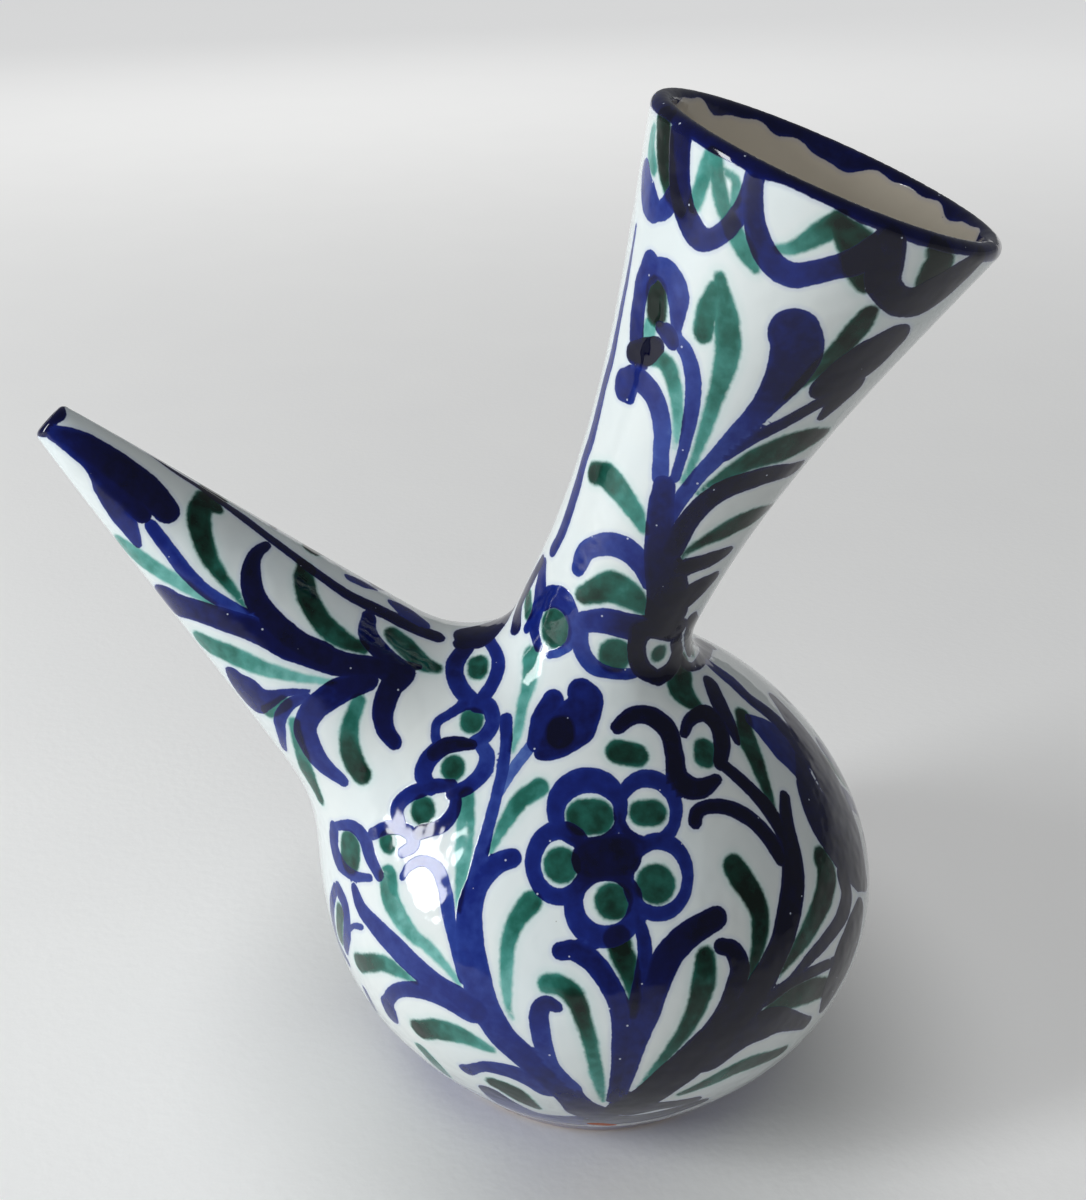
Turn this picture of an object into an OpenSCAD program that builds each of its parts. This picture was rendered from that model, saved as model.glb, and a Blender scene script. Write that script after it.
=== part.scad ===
// Porron: a wheel-thrown earthenware drinking jug. A round belly, a leaning trumpet neck and a
// conical pouring spout are thrown apart, luted together with slip and coated with tin glaze.
// Millimetres, +Z up. The origin is the centre of the foot, the spout points to -X and the neck
// leans to +X.

/* [Belly] */
// Radius of the flat foot that the vessel stands on
foot_r = 41; // [34:0.5:48]
// Angle of the wall at the foot, from the vertical
foot_flare = 37; // [28:1:42]
// Largest radius of the clay belly
belly_r = 67.4; // [60:0.1:76]
// Height of the widest ring above the table
belly_widest_z = 51.5; // [44:0.5:60]
// Height at which the shoulder would close over
belly_crown_z = 114.6; // [106:0.2:124]
// Length over which the wall keeps its angle above the foot
foot_pull = 20; // [14:0.5:26]
// Length over which the wall stays upright below the widest ring
lower_pull = 22; // [16:0.5:28]
// Length over which the wall stays upright above the widest ring
shoulder_pull = 29; // [22:0.5:34]
// Length over which the shoulder stays level at the crown
crown_pull = 32; // [26:0.5:40]
// Thickness of the belly's wall
belly_wall = 4.5; // [3:0.1:6]
// Thickness of the belly's floor
floor_t = 6; // [4:0.5:10]

/* [Neck] */
// Lean of the neck away from the spout, from the vertical
neck_tilt = 21.5; // [10:0.5:28]
// Height above the crown at which the neck's axis crosses the belly's axis
neck_pivot_h = 5.8; // [3:0.2:9]
// Outer radius of the clay at the neck's waist
waist_r = 19; // [16:0.5:23]
// Distance of the waist from the pivot, along the neck
waist_s = 10; // [6:1:16]
// Outer radius of the clay at the rim
rim_r = 36.8; // [30:0.2:42]
// Distance of the rim from the pivot, along the neck
rim_s = 111; // [90:1:130]
// Length over which the neck stays straight above its waist
waist_pull = 35; // [25:1:45]
// Length over which the neck keeps its flare below the rim
rim_pull = 35; // [25:1:45]
// Widening of the neck at the rim, per unit of length
rim_slope = 0.27; // [0.15:0.01:0.4]
// Thickness of the neck's wall
neck_wall = 3.6; // [2.6:0.1:5]

/* [Spout] */
// Rise of the spout above the horizontal
spout_rise = 46; // [40:0.5:54]
// Depth below the widest ring at which the spout's axis crosses the belly's axis
spout_pivot_h = 10.9; // [6:0.1:16]
// Outer radius of the clay at the root
root_r = 29.6; // [25:0.2:32]
// Depth of the root inside the belly, along the spout
root_sink = 10; // [8:0.5:12]
// Outer radius of the clay at the tip
tip_r = 4.4; // [3:0.1:6]
// Length of the spout outside the belly, along its axis
spout_l = 108; // [85:1:120]
// Narrowing of the spout at its root, per unit of length
root_slope = 0.28; // [0.2:0.01:0.34]
// Narrowing of the spout at its tip, per unit of length
tip_slope = 0.23; // [0.18:0.01:0.3]
// Length over which the spout keeps each of these slopes
spout_pull = 30; // [20:1:38]
// Thickness of the spout's wall
spout_wall = 3.4; // [2.6:0.1:5]
// Radius of the pouring hole in the clay
hole_r = 1.9; // [1.4:0.1:2.4]
// Radius of the hole that is pierced in the belly under the spout
pierced_r = 15; // [10:0.5:17]

/* [Luting and glaze] */
// Reach of the neck's slip seam over the shoulder, from the seam's own axis
neck_seam_r = 33; // [30:0.5:36]
// Height of the neck's slip seam above the crown
neck_seam_h = 8; // [6:0.5:10]
// Reach of the spout's slip seam over the belly, from the spout's axis
spout_seam_r = 38.5; // [37:0.5:44]
// Length of the spout's slip seam along the spout, from the root
spout_seam_l = 23; // [18:0.5:28]
// Thickness of the glaze coat
glaze_t = 0.4; // [0.3:0.05:0.8]
// Height of the bare clay that the glaze leaves at the foot
foot_bare_h = 0.8; // [0.5:0.1:2]

/* [Hidden] */
$fn = 96;

belly_steps = 10;     // straight steps in each half of the belly's outline
neck_steps = 10;      // straight steps in the neck's flare
spout_steps = 8;      // straight steps along the spout
seam_steps = 6;       // straight steps across a slip seam
lip_steps = 6;        // straight steps round a lip
crown_stop_r = 9;     // the crown's outline ends here, inside the neck's bore
seam_bite = 3;        // depth by which a slip seam's edges run into the clay that they join
seam_fill = 2;        // distance by which a slip seam fills out its corner
seam_inset = 4.5;     // distance by which the neck's seam ends inside the leaning neck
tail_s = 34;          // length of neck below its pivot before it is cut to sit on the shoulder
tail_d = 20;          // length of spout inside the belly before it is cut to sit on the belly
big = 400;            // wider than the vessel, for cutting planes

clay = "sienna";
slip = "peru";
glaze = "ghostwhite";
lining = "linen";

function bezier(a, b, c, d, t) =
    pow(1 - t, 3) * a + 3 * pow(1 - t, 2) * t * b + 3 * (1 - t) * t * t * c + pow(t, 3) * d;
function curve(a, b, c, d, n) = [for (i = [0:n]) bezier(a, b, c, d, i / n)];
function bend(a, b, c, n) = [for (i = [0:n]) let (t = i / n)
    pow(1 - t, 2) * a + 2 * (1 - t) * t * b + t * t * c];
function unit(v) = v / norm(v);
function along(p, i) = unit(p[min(i + 1, len(p) - 1)] - p[max(i - 1, 0)]);
function outward(p, i) = let (v = along(p, i)) [v.y, -v.x];
// An outline moved outward by t, with every point moved square to the outline
function grown(p, t) = [for (i = [0:len(p) - 1]) p[i] + t * outward(p, i)];
function rest(p) = [for (i = [1:len(p) - 1]) p[i]];
function reversed(p) = [for (i = [len(p) - 1:-1:0]) p[i]];
function last(p) = p[len(p) - 1];

// Half outlines as [radius, height] from the bottom up
lower_belly = curve([foot_r, 0],
                    [foot_r + foot_pull * sin(foot_flare), foot_pull * cos(foot_flare)],
                    [belly_r, belly_widest_z - lower_pull],
                    [belly_r, belly_widest_z], belly_steps);
whole_shoulder = curve([belly_r, belly_widest_z],
                       [belly_r, belly_widest_z + shoulder_pull],
                       [crown_pull, belly_crown_z],
                       [0, belly_crown_z], belly_steps);
shoulder = [for (p = whole_shoulder) if (p.x > crown_stop_r) p];
belly_line = concat(lower_belly, rest(shoulder));
neck_pivot_z = belly_crown_z + neck_pivot_h;
spout_pivot_z = belly_widest_z - spout_pivot_h;
// Distance from the spout's pivot to the belly's surface, at an angle above the horizontal
function surface_d(angle) = lookup(angle,
    [for (p = shoulder) let (v = p - [0, spout_pivot_z]) [atan2(v.y, v.x), norm(v)]]);
seat_d = surface_d(spout_rise);
root_d = seat_d - root_sink;
tip_d = seat_d + spout_l;
neck_line = concat([[waist_r, -tail_s]],
                   curve([waist_r, waist_s],
                         [waist_r, waist_s + waist_pull],
                         [rim_r - rim_slope * rim_pull, rim_s - neck_wall / 2 - rim_pull],
                         [rim_r, rim_s - neck_wall / 2], neck_steps));
spout_lip = (tip_r - hole_r) / 2;
spout_line = concat([[root_r + root_slope * tail_d, root_d - tail_d]],
                    curve([root_r, root_d],
                          [root_r - root_slope * spout_pull, root_d + spout_pull],
                          [tip_r + tip_slope * spout_pull, tip_d - spout_lip - spout_pull],
                          [tip_r, tip_d - spout_lip], spout_steps));
spout_bore_line = [for (p = spout_line) [max(p.x - spout_wall, hole_r), p.y]];

// Slip seams fill the corner between the belly and the tube that stands on it
function shoulder_z(r) = lookup(r, shoulder);
neck_seam_line = bend([neck_seam_r, shoulder_z(neck_seam_r) - seam_bite],
                      [waist_r + seam_fill, shoulder_z(waist_r) + seam_fill],
                      [waist_r - seam_inset, belly_crown_z + neck_seam_h], seam_steps);
// The leaning neck meets the shoulder on this side of the belly's axis
neck_seam_shift = (neck_pivot_z - shoulder_z(waist_r)) * tan(neck_tilt);
function tube_r(d) = lookup(d, [for (p = spout_line) [p.y, p.x]]);
// Distance along the spout's axis at which the round belly lies r to the side of that axis
function side_d(r) = seat_d - belly_r + sqrt(pow(belly_r, 2) - r * r);
spout_seam_line = bend([spout_seam_r, side_d(spout_seam_r) - seam_bite],
                       [tube_r(side_d(root_r)) + seam_fill, side_d(root_r) + seam_fill],
                       [tube_r(root_d + spout_seam_l) - seam_bite / 3, root_d + spout_seam_l],
                       seam_steps);

module on_neck() translate([0, 0, neck_pivot_z]) rotate([0, neck_tilt, 0]) children();
module on_seam() translate([-neck_seam_shift, 0, 0]) children();
module on_spout() translate([0, 0, spout_pivot_z]) rotate([0, spout_rise - 90, 0]) children();

// A half outline spun into a solid that is filled to its axis
module spun(line)
    rotate_extrude() polygon(concat([[0, line[0].y]], line, [[0, last(line).y]]));

// A wall between an outer and an inner half outline, joined over a round lip
module spun_wall(outer, inner) {
    mid = (last(outer) + last(inner)) / 2;
    side = (last(outer) - last(inner)) / 2;
    lip = [for (i = [1:lip_steps - 1]) let (a = 180 * i / lip_steps)
        mid + side * cos(a) + [-side.y, side.x] * sin(a)];
    rotate_extrude() polygon(concat(outer, lip, reversed(inner)));
}

module belly_mass(t = 0) spun(grown(belly_line, t));
module cavity(t = 0) difference() {
    spun(grown(belly_line, -belly_wall - t));
    translate([-big / 2, -big / 2, floor_t + t - big]) cube(big);
}
module neck_mass(t = 0) on_neck() spun(grown(neck_line, t));
module neck_shell(t = 0) on_neck()
    spun_wall(grown(neck_line, t), grown(neck_line, -neck_wall - t));
module neck_bore() on_neck() spun(grown(neck_line, -neck_wall));
module spout_mass(t = 0) on_spout() spun(grown(spout_line, t));
module spout_shell(t = 0) on_spout()
    spun_wall(grown(spout_line, t), [for (p = spout_bore_line) p - [t, 0]]);
module pierced_hole() on_spout() translate([0, 0, root_d - tail_d])
    cylinder(r = pierced_r, h = tail_d + root_sink + seam_bite);
module neck_seam_mass(t = 0) on_seam() spun(grown(neck_seam_line, t));
module spout_seam_mass(t = 0) on_spout() spun(grown(spout_seam_line, t));

// Thrown clay globe with its floor, pierced where the neck and the spout stand on it
module belly() color(clay) difference() {
    belly_mass();
    cavity();
    neck_bore();
    pierced_hole();
}

// Thrown clay trumpet, cut to sit on the shoulder
module neck() color(clay) difference() {
    neck_shell();
    belly_mass();
}

// Thrown clay cone with the pouring hole at its tip, cut to sit on the belly and round the neck
module spout() color(clay) difference() {
    spout_shell();
    belly_mass();
    neck_mass();
}

// Slip worked into the corner round the neck
module neck_seam() color(slip) difference() {
    neck_seam_mass();
    neck_mass();
    belly_mass();
    spout_mass();
}

// Slip worked into the corner round the spout
module spout_seam() color(slip) difference() {
    spout_seam_mass();
    spout_mass();
    belly_mass();
    neck_mass();
    neck_seam_mass();
}

// Glaze over the belly, from the bare foot up to the seams
module belly_glaze() color(glaze) difference() {
    belly_mass(glaze_t);
    belly_mass();
    neck_seam_mass(glaze_t);
    spout_seam_mass(glaze_t);
    translate([-big / 2, -big / 2, foot_bare_h - big]) cube(big);
}

// Glaze inside the belly, which makes the porous clay hold liquid
module belly_lining() color(lining) difference() {
    cavity();
    cavity(glaze_t);
    neck_bore();
    pierced_hole();
}

// Glaze over the neck and its seam, round the rim and down the bore
module neck_glaze() color(glaze) difference() {
    union() {
        neck_shell(glaze_t);
        difference() {
            neck_seam_mass(glaze_t);
            neck_mass();
        }
    }
    neck_shell();
    difference() {
        neck_seam_mass();
        neck_mass();
    }
    belly_mass();
    spout_mass();
    spout_seam_mass();
}

// Glaze over the spout and its seam, round the tip and down the bore
module spout_glaze() color(glaze) difference() {
    union() {
        spout_shell(glaze_t);
        difference() {
            spout_seam_mass(glaze_t);
            spout_mass();
        }
    }
    spout_shell();
    difference() {
        spout_seam_mass();
        spout_mass();
    }
    belly_mass();
    neck_mass(glaze_t);
    neck_seam_mass(glaze_t);
}

belly();
neck();
spout();
neck_seam();
spout_seam();
belly_glaze();
belly_lining();
neck_glaze();
spout_glaze();
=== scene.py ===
"""Porron: a thrown drinking jug in white tin glaze with cobalt blue and copper green brushwork."""
import math
import bmesh
import bpy
import numpy as np
from mathutils import Matrix, Vector


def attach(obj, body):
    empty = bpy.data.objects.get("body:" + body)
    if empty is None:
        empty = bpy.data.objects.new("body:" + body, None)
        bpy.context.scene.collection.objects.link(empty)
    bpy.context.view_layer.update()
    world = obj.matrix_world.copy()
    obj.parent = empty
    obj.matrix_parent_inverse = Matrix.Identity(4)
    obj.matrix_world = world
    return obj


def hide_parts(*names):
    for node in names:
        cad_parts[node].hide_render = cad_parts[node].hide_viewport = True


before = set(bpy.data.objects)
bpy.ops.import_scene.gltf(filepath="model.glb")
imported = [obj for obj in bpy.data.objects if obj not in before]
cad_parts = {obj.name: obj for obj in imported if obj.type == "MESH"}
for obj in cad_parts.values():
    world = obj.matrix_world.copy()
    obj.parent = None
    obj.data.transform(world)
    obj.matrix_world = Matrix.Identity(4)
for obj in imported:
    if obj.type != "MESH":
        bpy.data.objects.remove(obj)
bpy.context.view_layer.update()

MM = 0.001

# Outline of the clay in millimetres, as the solids have it
FOOT_R = 41
FOOT_FLARE = math.radians(37)
FOOT_PULL = 20
BELLY_R = 67.4
WIDEST_Z = 51.5
LOWER_PULL = 22
SHOULDER_PULL = 29
CROWN_PULL = 32
CROWN_Z = 114.6
NECK_TILT = math.radians(21.5)
NECK_PIVOT = np.array([0, 0, 120.4])
NECK_WALL = 3.6
WAIST_R = 19
WAIST_S = 10
WAIST_PULL = 35
RIM_R = 36.8
RIM_S = 111
RIM_PULL = 35
RIM_SLOPE = 0.27
SPOUT_RISE = math.radians(46)
SPOUT_PIVOT = np.array([0, 0, 40.6])
ROOT_R = 29.6
ROOT_D = 60.1
ROOT_SLOPE = 0.28
TIP_R = 4.4
TIP_D = 178.1
TIP_SLOPE = 0.23
SPOUT_PULL = 30
HOLE_R = 1.9
GLAZE_T = 0.4
BARE_FOOT = 0.8

# Reach of the rounded corners where neck and spout were luted to the belly
NECK_FILLET = 13
SPOUT_FILLET = 16

# Where one coat of glaze ends and the next begins, as distances from the seams' axes
NECK_COAT_R = 31
NECK_SEAM_X = -3.1
NECK_COAT_Z = 80
SPOUT_COAT_R = 38.5
SPOUT_COAT_D = 40
BORE_END_Z = 109
HOLE_END_D = 173

# Where the filled tubes and their bores end, along their axes
NECK_BOTTOM_S = -40
BORE_BOTTOM_S = -20
SPOUT_BOTTOM_D = 25
HOLE_BOTTOM_D = 169

# How far past a bore's end its surface still counts as inside
BORE_SLACK = 2

# Way up the neck's axis from which on there is only neck
NECK_CLEAR_S = 12

# Camera that took the photograph: radians, millimetres and pixels of its 1086 x 1200 frame
PHOTO_WIDE = 1086
PHOTO_TALL = 1200
FOCAL_PX = 1492.0
CENTRE_PX = np.array([433.8, 600.0])
CAMERA_AT = np.array([-14.13, -303.7, 289.9])
CAMERA_PITCH = 0.4961
CAMERA_ROLL = 0.0208
CAMERA_YAW = -0.0814
SENSOR_MM = 36
CLIP_START_M = 0.01

# Steps from the camera towards the vessel, in millimetres
RAY_START = 200.0
RAY_ROUNDS = 90
RAY_PACE = 0.8
RAY_LEAST_STEP = 0.02
RAY_HIT = 0.01

NECK_AXIS = np.array([math.sin(NECK_TILT), 0, math.cos(NECK_TILT)])
SPOUT_AXIS = np.array([-math.cos(SPOUT_RISE), 0, math.sin(SPOUT_RISE)])


# Outlines as [radius, height] points

def bezier(a, b, c, d, count=160):
    t = np.linspace(0, 1, count)[:, None]
    a, b, c, d = (np.array(p, float) for p in (a, b, c, d))
    return (1 - t) ** 3 * a + 3 * (1 - t) ** 2 * t * b + 3 * (1 - t) * t * t * c + t ** 3 * d


def belly_outline(below=10):
    """From below the foot, so that the glaze can be trimmed level, up to the crown"""
    flare = np.array([math.sin(FOOT_FLARE), math.cos(FOOT_FLARE)])
    foot = np.array([FOOT_R, 0])
    widest = (BELLY_R, WIDEST_Z)
    lower = bezier(foot, foot + FOOT_PULL * flare, (BELLY_R, WIDEST_Z - LOWER_PULL), widest)
    upper = bezier(widest, (BELLY_R, WIDEST_Z + SHOULDER_PULL), (CROWN_PULL, CROWN_Z), (0, CROWN_Z))
    return np.vstack([[foot - below * flare], lower, upper[1:]])


def neck_outline(below=60, above=10):
    end = np.array([RIM_R, RIM_S - NECK_WALL / 2])
    flare = np.array([RIM_SLOPE, 1])
    curve = bezier((WAIST_R, WAIST_S), (WAIST_R, WAIST_S + WAIST_PULL), end - RIM_PULL * flare, end)
    return np.vstack([[WAIST_R, -below], curve, [end + above * flare]])


def spout_outline(inside=40, beyond=4):
    lip = (TIP_R - HOLE_R) / 2
    root = np.array([ROOT_R, ROOT_D])
    tip = np.array([TIP_R, TIP_D - lip])
    narrow = np.array([-ROOT_SLOPE, 1])
    taper = np.array([-TIP_SLOPE, 1])
    curve = bezier(root, root + SPOUT_PULL * narrow, tip - SPOUT_PULL * taper, tip)
    return np.vstack([[root - inside * narrow], curve, [tip + beyond * taper]])


BELLY = belly_outline()
BELLY_ANGLE = np.arctan2(BELLY[:, 1] - WIDEST_Z, BELLY[:, 0])
BELLY_REACH = np.hypot(BELLY[:, 0], BELLY[:, 1] - WIDEST_Z)
BELLY_LEAN = np.gradient(BELLY_REACH, BELLY_ANGLE) / BELLY_REACH
NECK = neck_outline()
NECK_LEVEL = 1 / np.sqrt(1 + np.gradient(NECK[:, 0], NECK[:, 1]) ** 2)
SPOUT = spout_outline()
SPOUT_LEVEL = 1 / np.sqrt(1 + np.gradient(SPOUT[:, 0], SPOUT[:, 1]) ** 2)
LIP_LEAN = np.array([1, -RIM_SLOPE]) / math.hypot(1, RIM_SLOPE)
LIP = np.array([RIM_R, RIM_S - NECK_WALL / 2]) - LIP_LEAN * NECK_WALL / 2
TIP_LIP = np.array([(TIP_R + HOLE_R) / 2, TIP_D - (TIP_R - HOLE_R) / 2])


# Signed distances in millimetres, negative inside

# Distance that stands for far away, least divisor, and least squared slope that a step trusts
FAR = 9.0
TINY = 1e-9
LEAST_SLOPE = 0.2


def on_axis(p, pivot, axis):
    """Distance along an axis and distance from it"""
    q = p - pivot
    s = q @ axis
    return s, np.sqrt(np.maximum((q * q).sum(axis=1) - s * s, 0))


def belly_distance(p):
    r = np.hypot(p[:, 0], p[:, 1])
    h = p[:, 2] - WIDEST_Z
    angle = np.arctan2(h, r)
    gap = np.hypot(r, h) - np.interp(angle, BELLY_ANGLE, BELLY_REACH)
    return gap / np.sqrt(1 + np.interp(angle, BELLY_ANGLE, BELLY_LEAN) ** 2) - GLAZE_T


def tube_distance(s, r, outline, level):
    return (r - np.interp(s, outline[:, 1], outline[:, 0])) * np.interp(s, outline[:, 1], level)


def rounded_union(a, b, reach):
    return np.minimum(a, b) - np.maximum(reach - np.abs(a - b), 0) ** 2 / (4 * reach)


def vessel_distance(p):
    """The glazed vessel with its mouth, lip and pouring hole"""
    s, r = on_axis(p, NECK_PIVOT, NECK_AXIS)
    d, q = on_axis(p, SPOUT_PIVOT, SPOUT_AXIS)
    neck = tube_distance(s, r, NECK, NECK_LEVEL)
    rim = (s - LIP[1]) * LIP_LEAN[0] - (r - LIP[0]) * LIP_LEAN[1]
    trumpet = np.maximum(np.maximum(neck - GLAZE_T, rim), NECK_BOTTOM_S - s)
    cone = tube_distance(d, q, SPOUT, SPOUT_LEVEL) - GLAZE_T
    cone = np.maximum(np.maximum(cone, d - TIP_LIP[1]), SPOUT_BOTTOM_D - d)
    filled = rounded_union(belly_distance(p), trumpet, NECK_FILLET)
    filled = rounded_union(filled, cone, SPOUT_FILLET)
    bore = np.maximum(neck + NECK_WALL + GLAZE_T, BORE_BOTTOM_S - s)
    hole = np.maximum(q - HOLE_R + GLAZE_T, HOLE_BOTTOM_D - d)
    lip = np.hypot(r - LIP[0], s - LIP[1]) - NECK_WALL / 2 - GLAZE_T
    tip = np.hypot(q - TIP_LIP[0], d - TIP_LIP[1]) - (TIP_R - HOLE_R) / 2 - GLAZE_T
    hollow = np.maximum(filled, np.maximum(-bore, -hole))
    return np.minimum(hollow, np.minimum(lip, tip))


def slope_of(p, step=0.03):
    parts = []
    for shift in np.eye(3) * step:
        parts.append((vessel_distance(p + shift) - vessel_distance(p - shift)) / (2 * step))
    return np.stack(parts, axis=1)


def settle(p, rounds=3):
    """Moves points onto the vessel's surface"""
    for _ in range(rounds):
        slope = slope_of(p)
        size = np.maximum((slope * slope).sum(axis=1), LEAST_SLOPE)
        p = p - slope * (vessel_distance(p) / size)[:, None]
    return p


def normals_of(p):
    slope = slope_of(p)
    return slope / np.maximum(np.linalg.norm(slope, axis=1), TINY)[:, None]


def in_bore(p):
    s, r = on_axis(p, NECK_PIVOT, NECK_AXIS)
    middle = np.interp(s, NECK[:, 1], NECK[:, 0]) - NECK_WALL / 2
    return (s > BORE_BOTTOM_S - BORE_SLACK) & (r < middle)


def in_hole(p):
    d, q = on_axis(p, SPOUT_PIVOT, SPOUT_AXIS)
    return (d > HOLE_BOTTOM_D - BORE_SLACK) & (q < (TIP_R + HOLE_R) / 2)


# Camera

def camera_axes():
    """Unit vectors of the picture's right and down and of the view"""
    level = math.cos(CAMERA_PITCH)
    drop = -math.sin(CAMERA_PITCH)
    ahead = np.array([math.sin(CAMERA_YAW) * level, math.cos(CAMERA_YAW) * level, drop])
    side = np.array([math.cos(CAMERA_YAW), -math.sin(CAMERA_YAW), 0])
    down = np.cross(ahead, side)
    right = math.cos(CAMERA_ROLL) * side + math.sin(CAMERA_ROLL) * down
    below = math.cos(CAMERA_ROLL) * down - math.sin(CAMERA_ROLL) * side
    return right, below, ahead


def make_camera():
    right, below, ahead = camera_axes()
    data = bpy.data.cameras.new("camera")
    data.sensor_width = SENSOR_MM
    data.lens = FOCAL_PX * SENSOR_MM / PHOTO_TALL
    data.shift_x = (PHOTO_WIDE / 2 - CENTRE_PX[0]) / PHOTO_TALL
    data.shift_y = (CENTRE_PX[1] - PHOTO_TALL / 2) / PHOTO_TALL
    data.clip_start = CLIP_START_M
    camera = bpy.data.objects.new("camera", data)
    turn = Matrix([right, -below, -ahead]).transposed().to_4x4()
    camera.matrix_world = Matrix.Translation(Vector(CAMERA_AT * MM)) @ turn
    bpy.context.scene.collection.objects.link(camera)
    bpy.context.scene.camera = camera


def picture(points):
    """Pixels of the photograph where these points show"""
    right, below, ahead = camera_axes()
    away = points - CAMERA_AT
    sides = np.stack([away @ right, away @ below], axis=1)
    return CENTRE_PX + FOCAL_PX * sides / (away @ ahead)[:, None]


def cast(pixels):
    """Points of the vessel that these pixels of the photograph show"""
    right, below, ahead = camera_axes()
    turn = (np.asarray(pixels, float) - CENTRE_PX) / FOCAL_PX
    rays = ahead + turn[:, :1] * right + turn[:, 1:] * below
    rays /= np.linalg.norm(rays, axis=1)[:, None]
    reach = np.full(len(rays), RAY_START)
    nearest = np.full(len(rays), np.inf)
    best = reach.copy()
    for _ in range(RAY_ROUNDS):
        gap = vessel_distance(CAMERA_AT + rays * reach[:, None])
        closer = gap < nearest
        best[closer] = reach[closer]
        nearest[closer] = gap[closer]
        reach = reach + np.maximum(gap, RAY_LEAST_STEP) * RAY_PACE * (gap > RAY_HIT)
    return settle(CAMERA_AT + rays * best[:, None], 6)


# Mesh

# Grid lines along X, Y and Z, finer round the spout's tip, as (start, end, step) in millimetres
GRID_X = ((-136, -111, 0.5), (-111, 79, 1.0))
GRID_Y = ((-72, -5, 1.0), (-5, 5, 0.5), (5, 73, 1.0))
GRID_Z = ((-3, 157, 1.0), (157, 176, 0.5), (176, 243, 1.0))


def surface_net(xs, ys, zs):
    """Quads over the zero level of the vessel's distance on a grid"""
    v, w = np.meshgrid(ys, zs, indexing="ij")
    solid = np.empty((len(xs), len(ys), len(zs)), bool)
    sheet = np.stack([np.zeros(v.size), v.ravel(), w.ravel()], axis=1)
    for i, x in enumerate(xs):
        sheet[:, 0] = x
        solid[i] = (vessel_distance(sheet) < 0).reshape(v.shape)
    count = np.zeros([n - 1 for n in solid.shape], np.int8)
    for i in (0, 1):
        for j in (0, 1):
            for k in (0, 1):
                a, b, c = solid.shape
                count += solid[i:a - 1 + i, j:b - 1 + j, k:c - 1 + k]
    mixed = (count > 0) & (count < 8)
    index = np.full(mixed.shape, -1, np.int64)
    index[mixed] = np.arange(mixed.sum())
    i, j, k = np.nonzero(mixed)
    middle = [(line[n] + line[n + 1]) / 2 for line, n in ((xs, i), (ys, j), (zs, k))]
    quads = []
    for axis in range(3):
        order = (axis, (axis + 1) % 3, (axis + 2) % 3)
        inside = solid.transpose(order)
        cell = index.transpose(order)
        low = inside[:-1, 1:-1, 1:-1]
        high = inside[1:, 1:-1, 1:-1]
        for leaving, turn in ((low & ~high, 1), (high & ~low, -1)):
            a, b, c = np.nonzero(leaving)
            ring = [cell[a, b, c], cell[a, b + 1, c], cell[a, b + 1, c + 1], cell[a, b, c + 1]]
            quads.append(np.stack(ring, axis=1)[:, ::turn])
    return np.stack(middle, axis=1), np.vstack(quads)


def grid_line(*stretches):
    """Grid coordinates over stretches of (start, end, step)"""
    return np.concatenate([np.arange(start, end - step / 2, step) for start, end, step in stretches])


def relaxed(points, quads, rounds=4):
    """Evens out the mesh along the surface"""
    ends = np.vstack([quads, np.roll(quads, 1, axis=1)]).reshape(-1)
    others = np.vstack([np.roll(quads, -1, axis=1), quads]).reshape(-1)
    share = np.maximum(np.bincount(ends, minlength=len(points)), 1)[:, None]
    points = settle(points, 4)
    for _ in range(rounds):
        sums = [np.bincount(ends, points[others, n], len(points)) for n in range(3)]
        points = settle(0.5 * points + 0.5 * np.stack(sums, axis=1) / share, 2)
    return points


def cut(bm, level, snap=0.12):
    """Splits the faces of bm where level, a function of points in millimetres, is zero"""
    bm.verts.index_update()
    values = level(np.array([v.co for v in bm.verts]))
    values[np.abs(values) < snap] = 0
    line = {v for v in bm.verts if values[v.index] == 0}
    crossing = []
    for edge in bm.edges:
        a, b = (values[v.index] for v in edge.verts)
        if a * b < 0:
            crossing.append((edge, a / (a - b)))
    for edge, share in crossing:
        line.add(bmesh.utils.edge_split(edge, edge.verts[0], share)[1])
    for face in {f for v in line for f in v.link_faces}:
        ends = [v for v in face.verts if v in line]
        if len(ends) == 2 and not any(ends[1] in e.verts for e in ends[0].link_edges):
            bmesh.utils.face_split(face, *ends)


def foot_level(p):
    return p[:, 2] - BARE_FOOT


def bore_level(p):
    return np.where(in_bore(p), p[:, 2] - BORE_END_Z, FAR)


def hole_level(p):
    return np.where(in_hole(p), on_axis(p, SPOUT_PIVOT, SPOUT_AXIS)[0] - HOLE_END_D, FAR)


def neck_level(p):
    """Positive over the neck and the seam round it"""
    reach = NECK_COAT_R - np.hypot(p[:, 0] - NECK_SEAM_X, p[:, 1])
    above = on_axis(p, NECK_PIVOT, NECK_AXIS)[0] - NECK_CLEAR_S
    reach = np.where(p[:, 2] > NECK_COAT_Z, reach, -FAR)
    beyond = on_axis(p, SPOUT_PIVOT, SPOUT_AXIS)[1] - on_axis(p, NECK_PIVOT, NECK_AXIS)[1]
    return np.where((above > 0) & (beyond > 0), FAR, reach)


def spout_level(p):
    """Positive over the spout and the seam round it"""
    d, q = on_axis(p, SPOUT_PIVOT, SPOUT_AXIS)
    return np.where(d > SPOUT_COAT_D, SPOUT_COAT_R - q, -FAR)


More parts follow.
